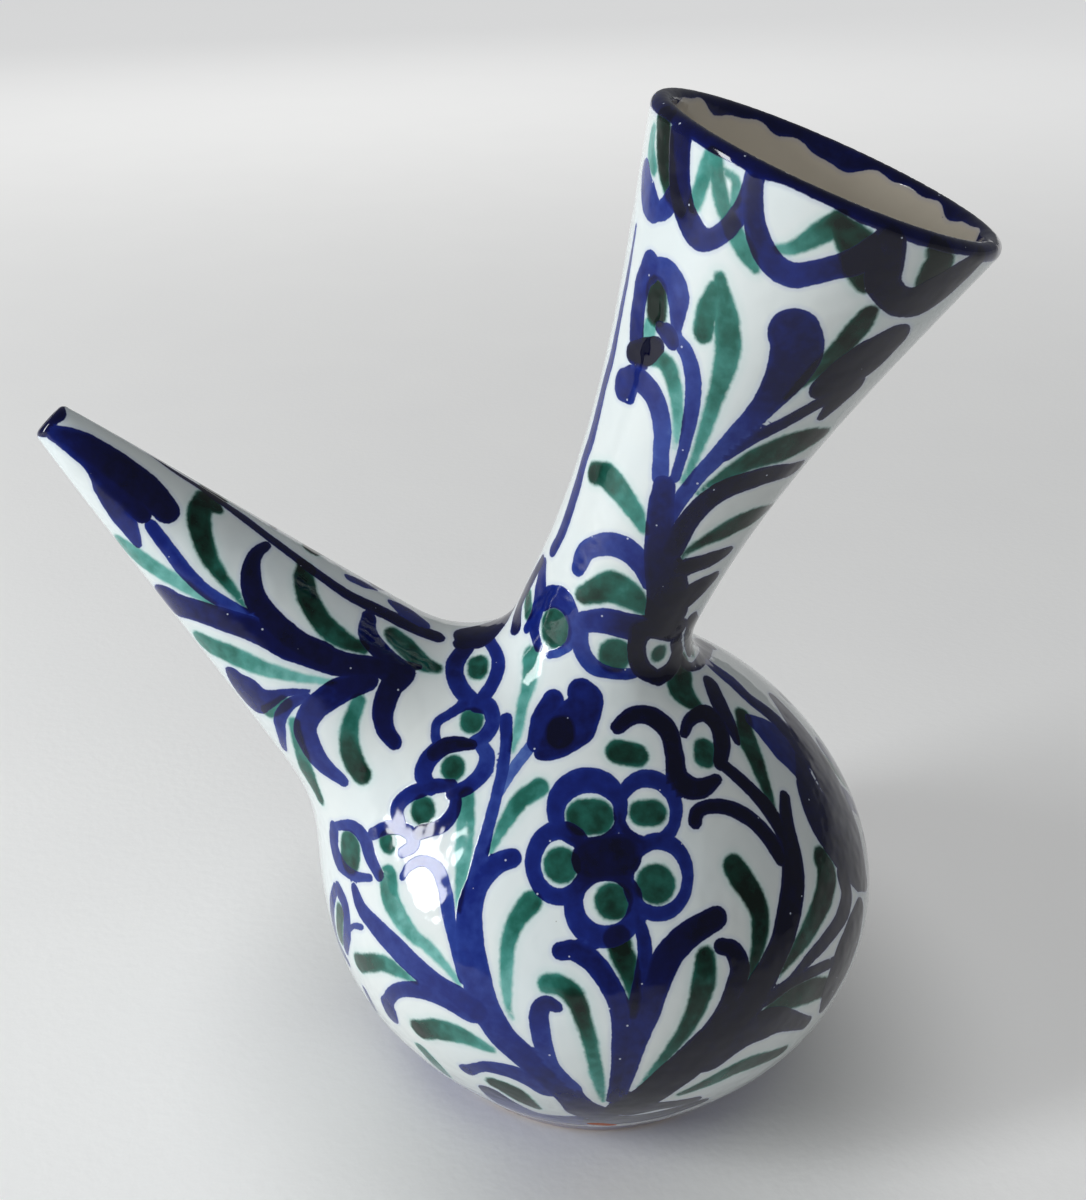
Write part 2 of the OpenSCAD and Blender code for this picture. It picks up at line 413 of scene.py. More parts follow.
def vessel_pieces():
    """Points and faces of each coat of glaze: {name: (points, faces)}"""
    points, quads = surface_net(*(grid_line(*line) for line in (GRID_X, GRID_Y, GRID_Z)))
    points = relaxed(points, quads)
    mesh = bpy.data.meshes.new("skin")
    mesh.from_pydata(points.tolist(), [], quads.tolist())
    bm = bmesh.new()
    bm.from_mesh(mesh)
    bpy.data.meshes.remove(mesh)
    for level in (foot_level, bore_level, hole_level, neck_level, spout_level):
        cut(bm, level)
    bm.verts.index_update()
    points = np.array([v.co for v in bm.verts])
    faces = [tuple(v.index for v in f.verts) for f in bm.faces]
    bm.free()
    middles = np.array([points[list(f)].mean(axis=0) for f in faces])
    kept = (foot_level(middles) > 0) & (bore_level(middles) > 0) & (hole_level(middles) > 0)
    neck = kept & ((neck_level(middles) > 0) | in_bore(middles))
    spout = kept & ~neck & (spout_level(middles) > 0)
    belly = kept & ~neck & ~spout
    pieces = {}
    for name, chosen in (("belly_glaze", belly), ("neck_glaze", neck), ("spout_glaze", spout)):
        own = [faces[n] for n in np.nonzero(chosen)[0]]
        used = np.unique(np.concatenate(own))
        place = np.full(len(points), -1)
        place[used] = np.arange(len(used))
        pieces[name] = (settle(points[used], 1), [tuple(place[list(f)]) for f in own])
    return pieces


def coat(name, points, faces):
    """A closed coat of glaze whose outside is this surface, with the outside's vertices first"""
    normals = normals_of(points)
    count = len(points)
    inner = points - normals * GLAZE_T
    edges = {}
    for face in faces:
        for a, b in zip(face, face[1:] + face[:1]):
            edges[(a, b)] = True
    open_edges = [(a, b) for a, b in edges if (b, a) not in edges]
    back = [tuple(int(n) + count for n in reversed(f)) for f in faces]
    rim = [(b, a, a + count, b + count) for a, b in open_edges]
    mesh = bpy.data.meshes.new(name)
    shell = np.vstack([points, inner]) * MM
    mesh.from_pydata(shell.tolist(), [], faces + back + rim)
    mesh.shade_smooth()
    mesh.normals_split_custom_set_from_vertices(np.vstack([normals, -normals]).tolist())
    piece = bpy.data.objects.new(name + "_coat", mesh)
    bpy.context.scene.collection.objects.link(piece)
    return piece


# Brush strokes that the photograph shows, as {name: (pixels, widths in pixels, tones)}.
# Pixels, widths and tones run from the stroke's start to its end. Tone 0 is a thin wash, and 1 is
# paint so thick that it fired nearly black. Where a stroke lies in shade, as on the right side and on
# top of the spout, its tone is darker by painted shade as well as by thick paint.

SPOUT_BLUE = {
    "tip upper lobe": ([(53, 433), (84, 445), (118, 468), (150, 493), (167, 511)], (17, 28, 34, 35, 26),
        (0.6, 0.9, 0.9)),
    "tip middle": ([(96, 470), (122, 490), (142, 514)], (18, 30, 20), (0.7, 0.9)),
    "tip lower lobe": ([(62, 440), (97, 466), (114, 501), (128, 526), (137, 543)], (16, 22, 31, 25, 9),
        (0.55, 0.7, 0.45)),
    "tip stem": ([(151, 526), (166, 546), (184, 570), (203, 589), (225, 604), (253, 619)],
        (14, 15, 14, 13), (0.5, 0.3)),
    "top line": ([(138, 447), (171, 469), (201, 488), (237, 513), (274, 541), (310, 568), (347, 594),
        (373, 607), (399, 620), (436, 636)], (3, 4, 5, 7, 7, 8, 9, 11, 12, 11), (0.8, 0.9)),
    "main stem": ([(168, 600), (200, 612), (229, 622), (257, 631), (286, 646), (315, 656), (343, 664),
        (372, 667), (401, 666), (420, 667)], (20, 22, 25, 27, 27, 22, 5), (0.6, 0.8, 0.9)),
    "upper hook": ([(267, 545), (255, 556), (251, 578), (257, 602), (276, 625), (299, 644), (324, 656)],
        (9, 21, 25, 27, 27), (0.9,)),
    "short hook": ([(369, 617), (368, 633), (378, 648), (395, 662), (412, 667)], (15, 20, 19, 16, 6),
        (0.7, 0.9)),
    "lower finger": ([(403, 673), (391, 687), (383, 710), (385, 729), (394, 742)], (26, 24, 23, 20, 17),
        (0.9, 0.7)),
    "lower branch": ([(367, 680), (341, 690), (315, 708), (305, 728), (310, 746), (322, 764), (343, 781)],
        (24, 27, 26, 23, 17, 10), (0.8, 0.5, 0.4)),
    "edge leaf": ([(234, 676), (246, 692), (262, 699), (286, 693), (309, 691)], (12, 25, 20, 9, 4),
        (0.6, 0.5)),
    "edge arc": ([(307, 696), (290, 704), (280, 719), (281, 734), (284, 748)], (9, 14, 14, 9, 5),
        (0.5, 0.4)),
    "far dab 1": ([(350, 578), (362, 583), (374, 588)], (7, 9, 5), (0.5,)),
    "far dab 2": ([(394, 604), (408, 613), (420, 622)], (8, 15, 12), (0.5,)),
}
SPOUT_GREEN = {
    "first leaf": ([(217, 508), (206, 500), (199, 513), (201, 533), (208, 556), (221, 576), (236, 594),
        (249, 613)], (10, 24, 25, 22, 18, 14, 9, 4), (1.0, 1.0, 0.7, 0.4)),
    "faint leaf": ([(122, 544), (151, 566), (181, 584), (214, 605)], (12, 15, 13, 7), (0.3, 0.1)),
    "lower leaf": ([(202, 641), (229, 654), (257, 666), (286, 675), (335, 683)], (13, 19, 16, 11, 3),
        (0.5, 0.25, 0.0)),
    "second leaf": ([(305, 568), (304, 579), (310, 602), (325, 625), (346, 641), (363, 648)],
        (20, 23, 24, 23, 19, 13), (1.0, 0.8, 0.8)),
    "third leaf": ([(393, 635), (407, 648), (422, 662), (437, 668)], (16, 20, 18, 11), (0.8,)),
    "root leaf": ([(359, 700), (351, 721), (349, 743), (354, 762), (361, 774)], (14, 17, 19, 23, 20),
        (0.4, 0.7, 1.0)),
    "edge dab": ([(268, 712), (285, 702)], (16,), (0.6, 0.4)),
    "edge leaf": ([(294, 723), (300, 748), (308, 774), (320, 799)], (12, 13, 12, 7), (0.3, 0.8)),
}
CHAIN_BLUE = {
    "divider": ([(512, 604), (494, 625), (473, 637), (464, 644)], (14, 24, 25, 18), (0.7, 1.0)),
    "loop 1 left": ([(466, 648), (456, 662), (455, 676), (463, 692), (475, 703)], (16, 19, 19, 17),
        (0.8, 0.4)),
    "loop 1 right": ([(490, 642), (497, 655), (498, 668), (492, 685), (483, 698)], (13, 14, 14, 14),
        (0.5,)),
    "loop 2 right": ([(478, 703), (489, 707), (493, 721), (486, 735), (474, 743)], (20, 16, 15, 14),
        (0.5, 0.4)),
    "loop 2 left": ([(472, 700), (451, 713), (437, 723), (436, 739), (444, 750)], (12, 10, 10, 12),
        (0.6, 0.4)),
    "loop 3 top": ([(434, 754), (446, 746), (460, 744), (472, 745)], (16, 18, 16, 11), (0.9, 1.0)),
    "loop 3 left": ([(438, 750), (427, 762), (423, 776), (431, 788)], (19, 19, 18, 16), (0.6, 0.5)),
    "loop 3 right": ([(478, 742), (487, 755), (483, 772), (469, 786), (453, 793)], (14, 16, 17, 16, 16),
        (0.3, 0.4, 0.7)),
    "loop 4 left": ([(452, 785), (430, 787), (407, 796), (397, 810), (400, 826)], (13, 16, 16, 15, 13),
        (0.7, 0.4)),
    "loop 4 right": ([(456, 792), (454, 810), (441, 826), (418, 833)], (12, 14, 15, 15), (0.6,)),
    "loop 5": ([(372, 834), (390, 827), (409, 832), (413, 845), (402, 853)], (13, 15, 14, 11),
        (0.5, 0.3)),
    "loop 6 right": ([(334, 826), (351, 826), (364, 838), (370, 857), (379, 875)], (9, 12, 13, 12, 10),
        (0.4,)),
    "loop 6 left": ([(334, 828), (334, 845), (340, 863), (353, 875), (370, 878)], (9, 10, 10, 11, 9),
        (0.4,)),
    "edge loop left": ([(335, 889), (332, 908), (337, 938), (348, 962)], (7, 8, 8, 6), (0.4,)),
    "edge loop right": ([(338, 889), (345, 906), (347, 930), (346, 950)], (8, 9, 9, 6), (0.4,)),
    "edge link": ([(348, 930), (354, 926), (362, 927)], (7,), (0.4,)),
}
NECK_ROOT_BLUE = {
    "ring 1 left": ([(541, 562), (530, 582), (520, 603), (516, 626)], (8, 10, 11, 10), (0.7, 0.8)),
    "ring 1 right": ([(543, 565), (540, 590), (536, 611), (527, 628)], (8, 11, 10, 8), (0.5,)),
    "ring 2 top": ([(541, 603), (549, 597), (560, 598), (570, 610), (574, 628), (570, 644), (560, 652),
        (549, 655)], (16, 24, 22, 15, 12, 11, 10, 8), (0.6, 0.4, 0.3, 0.2)),
    "ring 2 left": ([(540, 603), (534, 625), (538, 647)], (12, 11, 9), (0.5,)),
    "ring 3 top": ([(584, 622), (606, 621), (636, 628)], (22, 26, 27), (0.4, 0.5, 0.8)),
    "ring 3 left": ([(580, 624), (581, 648), (594, 667), (617, 674), (634, 673)], (17, 18, 16, 12, 11),
        (0.35, 0.35, 0.5)),
    "ring 4 left": ([(640, 630), (637, 650), (641, 667), (655, 677)], (22, 19, 20, 16), (1.0,)),
    "ring 4 right": ([(676, 640), (677, 655), (671, 668), (659, 677)], (12, 11, 14, 16), (1.0,)),
    "ring 5": ([(679, 628), (678, 645), (682, 660), (692, 667), (702, 659), (705, 643), (701, 625)],
        (8, 7, 12, 14, 10, 8, 6), (1.0, 0.9, 0.7)),
    "ring 4 top": ([(640, 629), (656, 628), (676, 630)], (20, 23, 24), (1.0,)),
    "ring 5 heart": ([(692, 618), (691, 632), (690, 645)], (12, 13, 12), (1.0,)),
}
NECK_BLUE = {
    "divider": ([(636, 226), (632, 251), (626, 285), (619, 321), (612, 356), (605, 382), (599, 407),
        (591, 439), (584, 460), (577, 486), (570, 509), (561, 534), (553, 550)], (3, 6, 8, 9, 9, 8),
        (0.4, 0.5)),
    "bud left": ([(650, 267), (643, 280), (640, 295), (637, 315), (636, 338)], (24, 16, 14, 14, 14),
        (0.4, 0.5, 0.6)),
    "bud right": ([(650, 267), (664, 270), (674, 283), (678, 298), (677, 316), (676, 332)],
        (24, 24, 23, 22, 16, 9), (0.4, 0.3, 0.5)),
    "bud foot": ([(632, 352), (645, 352), (657, 346)], (22, 30, 20), (1.0,)),
    "bud link": ([(660, 328), (668, 334), (672, 342)], (12, 18, 14), (0.7, 0.6)),
    "bud stem": ([(672, 334), (685, 350), (692, 372), (693, 395), (689, 425), (682, 455), (675, 478)],
        (13, 15, 17, 16, 14, 12, 11), (0.25, 0.4, 0.4)),
    "left hook": ([(628, 392), (624, 384), (633, 377), (648, 388), (658, 407), (662, 431), (661, 453),
        (660, 478)], (18, 24, 21, 19, 18, 17, 18), (0.5, 0.5, 0.2, 0.3)),
    "left hook heel": ([(622, 387), (630, 397)], (21, 13), (0.42,)),
    "main stem": ([(664, 486), (661, 510), (660, 536), (663, 564), (668, 592), (668, 616)],
        (24, 28, 32, 40, 44, 44), (0.6, 0.7, 0.9, 1.0)),
    "drop": ([(794, 331), (798, 347), (790, 371), (774, 395), (756, 415), (735, 437), (714, 460),
        (697, 478), (680, 500), (668, 520)], (54, 53, 40, 27, 21, 19, 17, 16, 16, 16),
        (0.65, 0.75, 0.4, 0.3, 0.5)),
    "right bud": ([(890, 342), (868, 359), (845, 374), (824, 387)], (24, 31, 29, 20), (1.0,)),
    "right bud tail": ([(850, 388), (837, 401), (823, 416)], (18, 14, 7), (1.0,)),
    "right bud stem": ([(834, 395), (807, 410), (786, 422), (764, 433), (746, 444), (726, 458)],
        (10, 10, 11, 11, 10, 7), (1.0, 0.6)),
    "lower right leaf": ([(798, 467), (773, 474), (749, 481), (724, 490), (703, 505), (686, 525),
        (672, 550)], (9, 15, 18, 19, 20, 22, 24), (1.0, 0.9)),
    "last leaf": ([(728, 551), (707, 561), (687, 567), (670, 575)], (7, 14, 16, 16), (1.0,)),
    "last stroke": ([(713, 578), (700, 588), (686, 598)], (9, 15, 20), (1.0,)),
    "left arc": ([(578, 568), (586, 551), (607, 544), (627, 550), (642, 566), (650, 584)],
        (15, 20, 24, 24, 21, 17), (0.35, 0.35, 0.6)),
}
NECK_GREEN = {
    "bud heart": ([(656, 292), (656, 312)], (21,), (1.0,)),
    "bud wash": ([(650, 326), (648, 337)], (14, 12), (0.3, 0.1)),
    "bud leaf": ([(634, 352), (650, 356), (665, 363), (673, 382), (677, 405), (678, 427), (675, 448)],
        (13, 17, 18, 16, 13, 10, 4), (0.9, 0.3, 0.1)),
    "tall leaf": ([(720, 278), (722, 300), (727, 325), (728, 350), (722, 378), (713, 406), (703, 435),
        (694, 460), (684, 482)], (14, 25, 28, 25, 21, 16, 13, 10, 9), (0.5, 0.5, 0.4, 0.2)),
    "tall leaf lobe": ([(714, 288), (707, 310), (703, 334)], (16, 22, 20), (0.5, 0.8)),
    "right leaf": ([(869, 313), (862, 323), (850, 338), (835, 355), (816, 372), (798, 387), (786, 398)],
        (18, 22, 21, 18, 14, 9, 4), (1.0, 0.8)),
    "middle leaf": ([(824, 434), (804, 441), (780, 450), (755, 459), (731, 472), (709, 485), (698, 494)],
        (9, 20, 24, 21, 16, 10, 4), (1.0, 0.8, 0.6)),
    "lower leaf": ([(770, 507), (744, 521), (715, 536), (691, 549), (680, 560)], (7, 15, 15, 10, 4),
        (1.0, 0.8)),
    "left leaf": ([(594, 473), (606, 476), (618, 488), (628, 502), (637, 516), (644, 531)],
        (25, 26, 23, 20, 17, 9), (0.9, 0.5, 0.3)),
    "root leaf": ([(583, 596), (600, 590), (613, 587), (630, 596), (645, 608), (656, 614)],
        (19, 29, 33, 28, 18, 9), (0.9, 0.6, 0.6)),
}
RIM_BLUE = {
    "scallop 1": ([(645, 172), (647, 192), (655, 211), (666, 207), (676, 190)], (14, 18, 21, 19, 15),
        (0.3, 0.4)),
    "scallop 2": ([(682, 128), (679, 155), (680, 190), (688, 220), (702, 239), (719, 235), (737, 217),
        (749, 196), (756, 172)], (23, 21, 21, 22, 25, 22, 21, 22, 22), (0.8, 0.7, 0.5, 0.5)),
    "scallop 3": ([(754, 182), (753, 200), (755, 225), (763, 249), (776, 267), (793, 275), (812, 273),
        (832, 268), (855, 262), (878, 250), (893, 232)], (20, 22, 23, 25, 26, 26, 25, 25, 28, 32, 26),
        (0.7, 0.7, 0.45, 0.7, 1.0)),
    "scallop 4": ([(890, 238), (886, 262), (884, 285), (897, 300), (916, 301), (938, 291), (959, 275),
        (982, 254)], (34, 38, 38, 34, 28, 27, 24, 12), (1.0,)),
}
RIM_GREEN = {
    "scallop 1 dab": ([(663, 118), (664, 145), (666, 170), (671, 190), (681, 210)], (17, 19, 17, 15, 11),
        (1.0, 1.0, 0.6)),
    "scallop 1 wash": ([(653, 132), (651, 150), (654, 168)], (9, 11, 9), (0.2, 0.3)),
    "scallop 2 left": ([(711, 158), (703, 180), (694, 206)], (17, 16, 14), (0.4, 0.25)),
    "scallop 2 right": ([(715, 160), (719, 185), (723, 205), (730, 222), (743, 248), (756, 270)],
        (17, 17, 17, 19, 19, 9), (0.4, 0.4, 0.5)),
    "scallop 2 loop": ([(722, 170), (735, 180), (735, 200), (726, 216)], (10, 12, 12, 10), (0.3, 0.2)),
    "scallop 3 leaf": ([(838, 221), (824, 231), (806, 242), (789, 249), (778, 248)], (24, 25, 21, 16, 9),
        (1.0, 0.5, 0.2)),
    "scallop 3 fall": ([(842, 226), (857, 246), (863, 268), (867, 284)], (26, 40, 42, 26), (1.0,)),
    "scallop 4 leaf": ([(938, 248), (938, 264), (930, 282)], (24, 30, 24), (1.0,)),
}
SHOULDER_BLUE = {
    "hook": ([(618, 727), (632, 716), (650, 716), (667, 729), (674, 752), (677, 775), (688, 787),
        (702, 788), (717, 779)], (16, 19, 20, 20, 19, 21, 24, 22, 13), (1.0,)),
    "ring": ([(684, 734), (691, 719), (706, 714), (718, 725), (722, 746), (720, 764)],
        (11, 15, 17, 18, 17, 15), (1.0,)),
    "upper line": ([(711, 684), (720, 705), (730, 725), (737, 742)], (13, 15, 13, 6), (0.9,)),
    "edge line": ([(709, 663), (729, 679), (749, 698), (772, 716), (790, 735), (804, 758)],
        (9, 11, 10, 12, 14, 12), (0.5, 0.7, 0.8)),
    "bud": ([(581, 692), (588, 702), (574, 722), (553, 744), (543, 752)], (28, 34, 50, 38, 18),
        (0.6, 0.7)),
    "bud cheek": ([(553, 700), (546, 717), (539, 742)], (22, 29, 24), (0.6,)),
    "bud stem": ([(531, 746), (514, 768), (500, 791), (494, 805)], (12, 11, 10), (0.15, 0.05)),
    "left stem": ([(506, 719), (506, 744), (502, 772), (495, 802), (487, 832), (480, 860), (475, 884)],
        (14, 12, 12, 12, 13, 15, 18), (0.55, 0.3, 0.4)),
    "edge wash": ([(752, 721), (768, 732), (784, 747), (797, 764)], (10, 19, 24, 18), (0.4, 0.6)),
    "edge streak": ([(776, 700), (798, 728), (820, 763), (840, 802), (856, 842), (863, 868)],
        (10, 22, 30, 32, 26, 12), (0.8, 0.9)),
}
SHOULDER_GREEN = {
    "loose dab": ([(619, 752), (636, 755)], (26, 24), (0.8, 0.9)),
    "knot leaf": ([(680, 672), (681, 688), (690, 700), (698, 706)], (24, 24, 18, 10), (0.9, 0.8)),
    "edge leaf": ([(743, 716), (747, 738), (758, 765), (767, 790), (776, 817)], (16, 18, 15, 11, 4),
        (0.9, 0.8)),
    "stem leaf": ([(531, 656), (529, 682), (522, 707), (518, 729), (512, 750)], (18, 15, 11, 10, 7),
        (0.4, 0.1)),
    "spray leaf": ([(539, 787), (520, 801), (504, 825), (490, 852)], (20, 19, 14, 7), (0.6, 0.4, 0.1)),
    "edge spray leaf": ([(467, 795), (466, 821), (464, 850), (461, 880), (459, 910)], (16, 19, 17, 13, 5),
        (0.4, 0.1)),
}
BELLY_BLUE = {
    "left stem": ([(512, 858), (498, 863), (482, 877), (473, 895), (469, 918), (470, 945), (475, 973),
        (484, 1005), (503, 1037), (530, 1062), (560, 1087), (585, 1110), (604, 1118)],
        (20, 23, 25, 28, 30, 29, 27, 24, 23, 25, 24, 23, 18), (0.5, 0.35, 0.4, 0.6, 0.8)),
    "left arc": ([(402, 877), (410, 866), (424, 861), (438, 870), (445, 891), (449, 918), (455, 942),
        (465, 978)], (7, 12, 14, 14, 13, 13, 14), (0.4, 0.25, 0.3)),
    "second stem": ([(354, 888), (361, 908), (375, 926), (394, 946), (414, 966), (433, 982), (454, 995),
        (476, 1011)], (6, 13, 18, 20, 20, 20, 23), (0.45, 0.35, 0.5)),
    "third stem": ([(391, 1015), (388, 1002), (397, 991), (418, 990), (443, 997), (470, 1012)],
        (11, 16, 17, 19, 20), (0.5, 0.4)),
    "edge sliver": ([(365, 990), (370, 1000), (376, 1011)], (5, 6, 4), (0.5,)),
    "low left": ([(467, 1070), (484, 1067), (504, 1070), (524, 1077), (547, 1089)], (13, 11, 12, 14, 16),
        (0.5, 0.4)),
    "inner hook": ([(557, 1007), (546, 1003), (539, 1012), (540, 1030), (544, 1048), (552, 1069),
        (571, 1089)], (12, 20, 20, 19, 18, 17, 16), (0.7, 0.35, 0.4)),
    "centre left stem": ([(561, 951), (576, 951), (594, 963), (608, 982), (618, 1002), (622, 1022),
        (622, 1043), (619, 1073), (613, 1100)], (20, 23, 22, 21, 22, 21, 18, 16, 14), (0.65, 0.6, 0.7)),
    "centre right stem": ([(716, 918), (697, 929), (681, 942), (667, 958), (657, 982), (646, 1012),
        (634, 1043), (626, 1073), (618, 1098)], (25, 28, 30, 29, 29, 26, 22, 18, 14), (1.0, 0.6, 0.6)),
    "flower stem": ([(637, 918), (643, 936), (645, 958), (641, 985), (636, 1014)], (13, 15, 16, 18, 19),
        (0.6,)),
    "right hook": ([(721, 946), (733, 950), (740, 968), (735, 988), (726, 1010), (711, 1033), (690, 1056),
        (668, 1077), (645, 1095), (622, 1107)], (17, 21, 19, 19, 20, 20, 20, 19, 18, 16), (1.0, 0.9)),
    "right stem": ([(785, 797), (786, 815), (789, 838), (793, 863), (793, 888), (789, 914), (783, 939),
        (774, 960), (763, 981), (750, 1003), (732, 1024), (704, 1050), (672, 1078), (645, 1098),
        (620, 1110)], (11, 14, 20, 24, 25, 23, 24, 27, 31, 33, 33, 31, 27, 22, 18), (1.0,)),
    "right arc": ([(695, 822), (698, 811), (715, 806), (735, 810), (754, 822), (769, 838), (781, 857)],
        (15, 16, 16, 16, 15, 15, 15), (1.0,)),
    "shoulder stem": ([(722, 764), (742, 781), (760, 799), (773, 816), (785, 836)], (12, 12, 13, 14, 15),
        (1.0,)),
    "edge leaf": ([(801, 762), (808, 785), (818, 808), (832, 830), (850, 855), (866, 884)],
        (10, 22, 32, 34, 26, 8), (0.8, 1.0)),
    "edge thin": ([(842, 874), (847, 895), (842, 916), (828, 937), (810, 958), (790, 980), (769, 997)],
        (11, 13, 13, 12, 10, 7, 7), (1.0, 0.9)),
    "edge low leaf": ([(859, 915), (853, 938), (844, 962), (834, 985), (826, 1003)], (18, 28, 32, 26, 12),
        (1.0,)),
    "edge low line": ([(836, 960), (808, 974), (787, 985), (766, 1001), (751, 1012)], (9, 11, 11, 10, 9),
        (1.0, 0.9)),
    "low right": ([(806, 1023), (783, 1021), (760, 1027), (735, 1038), (710, 1056)], (14, 22, 27, 30, 30),
        (1.0, 0.9)),
    "foot right": ([(694, 1100), (676, 1104), (655, 1107), (630, 1112)], (9, 11, 13, 13), (1.0, 0.9)),
    "foot line": ([(491, 1092), (503, 1101), (519, 1110), (540, 1117), (565, 1121), (598, 1121)],
        (14, 20, 25, 29, 30, 28), (0.8, 0.4, 0.35, 0.4, 0.6)),
    "foot line right": ([(610, 1121), (632, 1120), (655, 1116), (680, 1109), (700, 1102)],
        (28, 25, 21, 16, 10), (0.9, 1.0)),
}
BELLY_GREEN = {
    "edge leaf": ([(359, 963), (380, 963), (398, 971), (416, 982)], (20, 21, 14, 5), (0.9, 0.5, 0.2)),
    "low leaf": ([(420, 1030), (439, 1030), (463, 1036), (492, 1050)], (21, 22, 15, 6), (0.9, 0.5, 0.2)),
    "low sliver": ([(422, 1049), (433, 1061), (447, 1075)], (9, 11, 6), (0.6, 0.5)),
    "arc leaf": ([(388, 877), (390, 898), (400, 918), (414, 936), (426, 945), (443, 963), (459, 983)],
        (18, 18, 17, 14, 12, 9, 5), (0.5, 0.2, 0.1)),
    "stem leaf": ([(531, 902), (516, 922), (508, 946), (506, 973), (508, 1004), (512, 1018)],
        (24, 20, 16, 14, 10, 5), (0.7, 0.35, 0.2, 0.1)),
    "centre leaf": ([(548, 984), (562, 986), (576, 1000), (584, 1022), (591, 1047), (598, 1078),
        (603, 1101)], (21, 23, 19, 16, 15, 11, 6), (0.5, 0.9, 0.5, 0.4, 0.2)),
    "foot leaf": ([(496, 1084), (511, 1091), (525, 1101), (537, 1108)], (12, 16, 12, 5), (0.9,)),
    "flower leaf": ([(617, 938), (623, 956), (630, 976), (634, 1000), (633, 1017)], (28, 26, 19, 12, 5),
        (1.0, 0.8, 0.5)),
    "right leaf": ([(705, 956), (704, 980), (697, 1006), (687, 1027), (673, 1047), (656, 1069),
        (640, 1087)], (20, 25, 20, 15, 12, 9, 5), (0.9, 0.8, 0.3)),
    "arc inner leaf": ([(734, 866), (742, 879), (753, 896), (760, 914), (760, 935), (756, 956),
        (751, 973), (746, 986)], (22, 26, 24, 19, 17, 14, 10, 5), (1.0, 1.0, 0.7)),
    "stem outer leaf": ([(821, 858), (827, 873), (825, 893), (817, 914), (806, 935), (793, 955),
        (780, 974)], (16, 20, 21, 18, 15, 11, 5), (0.9,)),
    "low right leaf": ([(830, 986), (810, 991), (787, 1000), (762, 1014)], (18, 25, 20, 7), (1.0, 0.9)),
    "foot right leaf": ([(782, 1051), (745, 1065), (711, 1081), (680, 1094)], (9, 13, 11, 5), (0.9, 0.7)),
}

# The flower on the belly: each petal is a blue ring, from its hole to its outer edge
FLOWER_MIDDLE = (606, 857)
FLOWER_HEART = ([(594, 859), (619, 856)], (46,), (0.9, 0.95))
FLOWER_PETALS = {
    "upper left": ((590, 815), (26, 22), (587, 808), (40, 41)),
    "upper right": ((647, 812), (23, 24), (648, 810), (35, 41)),
    "right": ((658, 878), (24, 28), (658, 877), (36, 45)),
    "lower": ((606, 903), (23, 22), (604, 907), (40, 42)),
    "left": ((560, 864), (19, 24), (560, 863), (35, 43)),
}
PETAL_DABS = {
    "upper left": (590, 817, 25, 19),
    "upper right": (648, 813, 20, 14),
    "right": (656, 884, 20, 20),
    "lower": (613, 902, 19, 19),
    "left": (561, 865, 18, 18),
}
GREEN_DABS = {
    "loop 1": (478, 667, 11, 15),
    "loop 2": (472, 721, 12, 14),
    "loop 3": (453, 768, 13, 13),
    "loop 4": (423, 811, 13, 14),
    "loop 5": (388, 842, 9, 9),
    "loop 6": (350, 852, 10, 15),
    "edge loop": (340, 924, 5, 17),
    "ring 1": (528, 605, 4, 12),
    "ring 2": (555, 628, 15, 18),
    "ring 3": (615, 655, 17, 19),
    "ring 4": (659, 653, 8, 9),
    "ring 5": (692, 638, 6, 13),
    "shoulder ring": (705, 753, 12, 16),
    "bud": (560, 733, 14, 17),
}
CHIP = ([(597, 1124), (608, 1125)], (10, 9), (0, 0))


# Painting: each vertex gets its distance in millimetres to the nearest strokes, and their tone there

SAMPLE_MM = 0.35
TONE_BLEND_MM = 1.2
LEAST_SEEN = 0.5
LEAST_HIDDEN = 0.7
BLUE_LAYERS = ("blue_a", "blue_b", "blue_c")
GREEN_LAYERS = ("green_a", "green_b")
RIM_BAND = 1.5
RIM_BAND_INSIDE = 1.7
TIP_BAND = 1.3
FOOT_LINE_Z = 5.5
FOOT_LINE_HALF = 5.0
DAB_TONE = 0.72
RIM_TONE = 0.8
TIP_TONE = 0.9
FOOT_TONE = 0.3

# Pairs of vertex and stroke point that are measured at once
PAIRS_AT_ONCE = 2000000

# A petal's tones by the distance in pixels from the flower's middle
PETAL_TONE_PX = (26, 58)
PETAL_TONES = (0.85, 0.5)

# How the bands' edges wander, as waves of (count round the turn, height in millimetres, phase)
RIM_WAVES = ((3, 0.6, 0.4), (7, 0.5, 1.9), (13, 0.35, 0.8), (23, 0.25, 2.6))
TIP_WAVES = ((2, 0.5, 0.5), (5, 0.4, 1.0))
FOOT_WAVES = ((3, 0.9, 0.5), (7, 0.6, 1.2))
RIM_SWING = 0.5
RIM_SWING_INSIDE = 1.6
RIM_TONE_SWING = 0.08

# Guessed sprigs away from the spout and under it: turn, lowest and highest point, pairs of leaves
SPRIGS = ((0.06, 13, 84, 4), (math.pi, 13, 58, 3))

# Guessed strokes: widths in millimetres and tones
SPRIG_STEM = ((4.5, 4, 3.5, 6.5), (0.7, 0.5, 0.6))
SPRIG_BLUE_LEAF = ((3.5, 5, 5.2, 2.5), (0.7, 0.5, 0.6))
SPRIG_GREEN_LEAF = ((1.5, 4.2, 3.6), (0.3, 0.7))
FAR_NECK_LINE = ((1.4, 2.2, 2.2, 1.2), (0.5,))
FAR_NECK_SCALLOP = ((5.4, 5.8, 6), (0.8, 0.6, 0.8))
FAR_NECK_LEAF = ((4, 5, 4), (0.4, 0.8))


def oval(middle, half, turns=14):
    """Pixels round an oval, closed"""
    angles = np.linspace(0, 2 * math.pi, turns + 1)
    return [(middle[0] + half[0] * math.cos(a), middle[1] + half[1] * math.sin(a)) for a in angles]


def dab(x, y, half_wide, half_tall):
    """An oval spot as a short stroke along its longer side"""
    run = max(abs(half_wide - half_tall), 1)
    step = (run, 0) if half_wide > half_tall else (0, run)
    ends = [(x - step[0], y - step[1]), (x + step[0], y + step[1])]
    return ends, (2 * min(half_wide, half_tall),), (DAB_TONE,)


